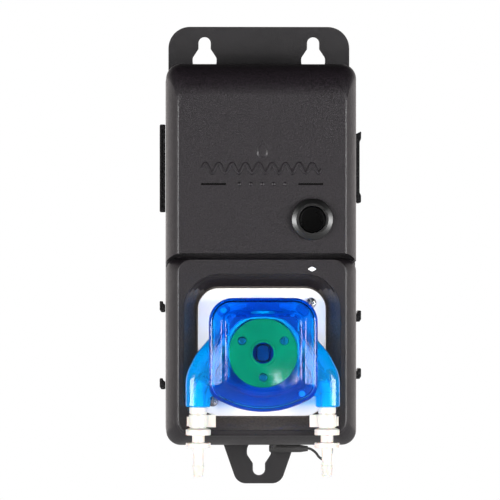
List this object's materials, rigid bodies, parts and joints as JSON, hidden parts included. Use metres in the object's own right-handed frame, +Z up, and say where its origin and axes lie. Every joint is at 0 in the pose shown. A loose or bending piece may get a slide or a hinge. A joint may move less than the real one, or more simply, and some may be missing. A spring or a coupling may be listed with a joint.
{
  "type": "peristaltic pump",
  "caption": "Wall-mounted peristaltic dosing pump: charcoal casing with push button, clear blue pump head with roller rotor, and two barbed hose outlets below.",
  "frame": {"origin": "on the wall face of the back plate, midway up the plate and on its centre line", "axes": "+Y into the wall (out of the plate's back), +Z up along the plate, +X to the right as seen from the front; the pump faces -Y"},
  "size_m": [0.0969, 0.076, 0.222],
  "materials": {
    "casing_black": "fine-grained matte charcoal",
    "plate_black": "satin black paint",
    "gloss_black": "glossy black",
    "white_plastic": "satin white",
    "blue_housing": "clear light blue",
    "blue_cover": "clear deep blue, polished",
    "rotor_green": "satin green",
    "hub_blue": "satin deep blue",
    "roller_white": "satin off-white",
    "hose_clear": "milky translucent elastomer",
    "fitting_white": "cream white, slightly translucent",
    "steel": "bright steel",
    "brass": "plain brass",
    "gear_plastic": "natural off-white",
    "board_green": "green laminate",
    "rubber_black": "matte black",
    "lens_white": "white diffuser"
  },
  "bodies": {
    "casing": {"back_housing": "casing_black", "upper_cover": "casing_black", "lower_cover": "casing_black", "back_plate": "plate_black", "side_bar_left": "gloss_black", "side_clip_right": "gloss_black", "lug_left_upper": "gloss_black", "lug_left_lower": "gloss_black", "lug_right_upper": "gloss_black", "lug_right_lower": "gloss_black", "button_bezel": "gloss_black", "pump_base_plate": "white_plastic", "pump_housing": "blue_housing", "peristaltic_hose": "hose_clear", "hose_fitting_left": "fitting_white", "hose_fitting_right": "fitting_white", "hose_clip_left": "fitting_white", "hose_clip_right": "fitting_white", "plate_screw_1": "steel", "plate_screw_2": "steel", "plate_screw_3": "steel", "plate_screw_4": "steel", "base_screw_1": "steel", "base_screw_2": "steel", "board_screw_1": "steel", "board_screw_2": "steel", "button_nut": "steel", "button_spring": "steel", "motor": "steel", "shaft_bush_front": "brass", "shaft_bush_rear": "brass", "gearbox_case": "gear_plastic", "gearbox_lid": "gear_plastic", "control_board": "board_green", "button_contact_block": "board_green", "terminal_block": "board_green", "casing_gasket": "rubber_black", "relay": "rubber_black", "capacitor": "rubber_black", "lead": "rubber_black", "lead_boot": "rubber_black", "lead_grommet": "rubber_black", "indicator_lens": "lens_white"},
    "rotor": {"rotor_front_disc": "rotor_green", "rotor_rear_disc": "rotor_green", "rotor_hub": "hub_blue", "roller_pin_1": "steel", "roller_pin_2": "steel", "roller_pin_3": "steel", "output_shaft": "steel", "output_gear": "gear_plastic"},
    "roller_a": {"roller_1": "roller_white"},
    "roller_b": {"roller_2": "roller_white"},
    "roller_c": {"roller_3": "roller_white"},
    "motor_rotor": {"motor_shaft": "steel", "drive_pinion": "brass"},
    "button": {"button_cap": "gloss_black"},
    "pump_cover": {"pump_cover": "blue_cover", "cover_post_1": "blue_housing", "cover_post_2": "blue_housing"}
  },
  "joints": [
    {"name": "rotor_spin", "type": "hinge", "parent": "casing", "child": "rotor", "pos_m": [0, -0.061, -0.046], "axis": [0, 1, 0], "continuous": true},
    {"name": "roller_a_spin", "type": "hinge", "parent": "rotor", "child": "roller_a", "pos_m": [0.00996, -0.061, -0.04025], "axis": [0, 1, 0], "continuous": true},
    {"name": "roller_b_spin", "type": "hinge", "parent": "rotor", "child": "roller_b", "pos_m": [-0.00996, -0.061, -0.04025], "axis": [0, 1, 0], "continuous": true},
    {"name": "roller_c_spin", "type": "hinge", "parent": "rotor", "child": "roller_c", "pos_m": [0, -0.061, -0.0575], "axis": [0, 1, 0], "continuous": true},
    {"name": "motor_spin", "type": "hinge", "parent": "casing", "child": "motor_rotor", "pos_m": [0, -0.037, -0.021], "axis": [0, 1, 0], "continuous": true},
    {"name": "button_press", "type": "slide", "parent": "casing", "child": "button", "axis": [0, 1, 0], "range_m": [0, 0.0015], "stiffness_N_per_m": 600},
    {"name": "pump_cover_pull", "type": "slide", "parent": "casing", "child": "pump_cover", "axis": [0, -1, 0], "range_m": [0, 0.03]}
  ],
  "couplings": [
    {"joint": "roller_a_spin", "follows": "rotor_spin", "ratio": -3.6},
    {"joint": "roller_b_spin", "follows": "rotor_spin", "ratio": -3.6},
    {"joint": "roller_c_spin", "follows": "rotor_spin", "ratio": -3.6},
    {"joint": "motor_spin", "follows": "rotor_spin", "ratio": -2.5714}
  ]
}
